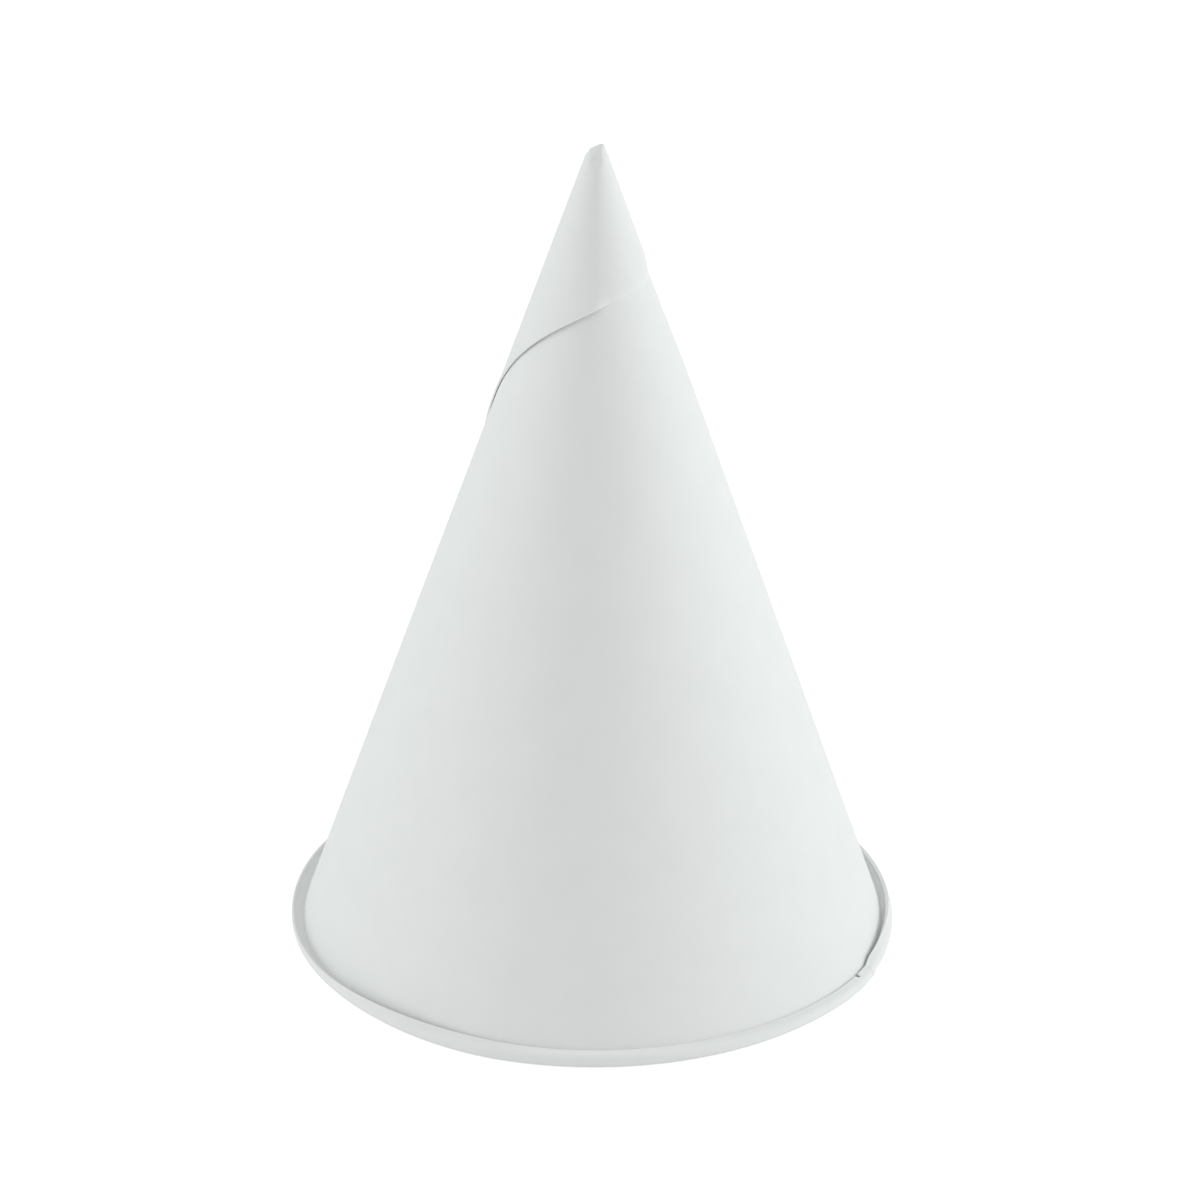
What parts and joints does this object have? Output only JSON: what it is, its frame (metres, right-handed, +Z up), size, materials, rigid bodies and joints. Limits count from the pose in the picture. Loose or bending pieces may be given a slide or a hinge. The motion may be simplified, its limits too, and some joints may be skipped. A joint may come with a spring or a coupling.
{
  "type": "cone paper cup",
  "caption": "White paper cone cup wound from a single sheet, with an outward curled rim and a closed tip, standing on its mouth.",
  "frame": {"origin": "centre of the mouth, on the plane that the curled rim rests on", "axes": "+Z up from the mouth to the closed tip, -Y the front, +X to the right of someone facing the front"},
  "size_m": [0.0718, 0.0719, 0.0958],
  "materials": {
    "cup_paper": "matt uncoated white cup paper, faint fibre"
  },
  "bodies": {
    "root": {"cup_cone": "cup_paper"}
  },
  "joints": []
}
